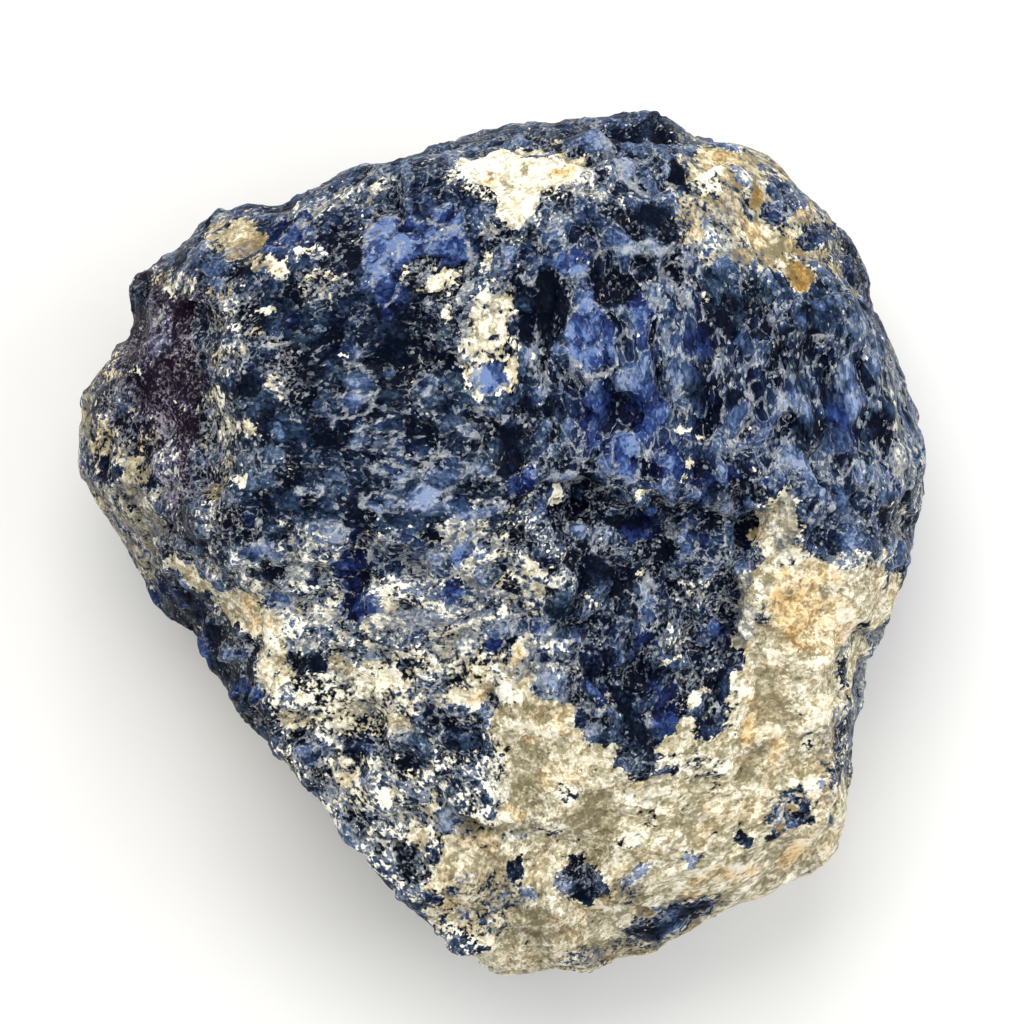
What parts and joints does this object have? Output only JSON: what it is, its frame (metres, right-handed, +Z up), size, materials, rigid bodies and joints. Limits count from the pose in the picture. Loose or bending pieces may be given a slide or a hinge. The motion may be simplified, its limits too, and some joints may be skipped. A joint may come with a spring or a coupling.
{
  "type": "rough sodalite specimen",
  "caption": "Palm-sized lump of rough sodalite with a broken, ledged surface, standing by itself on a small flat foot.",
  "frame": {"origin": "on the surface that the stone stands on, under the middle of its bounding box", "axes": "+Z up, through the stone's thickness; +X to the right and +Y away from the viewer, for a viewer who looks down on the stone with its narrow end nearest"},
  "size_m": [0.068, 0.0686, 0.036],
  "materials": {
    "sodalite": "rough broken stone: deep blue sodalite with a thin pale film on its flakes, mottled with cream to sandy feldspar and calcite, dull with small glints"
  },
  "bodies": {
    "root": {"sodalite_lump": "sodalite"}
  },
  "joints": []
}
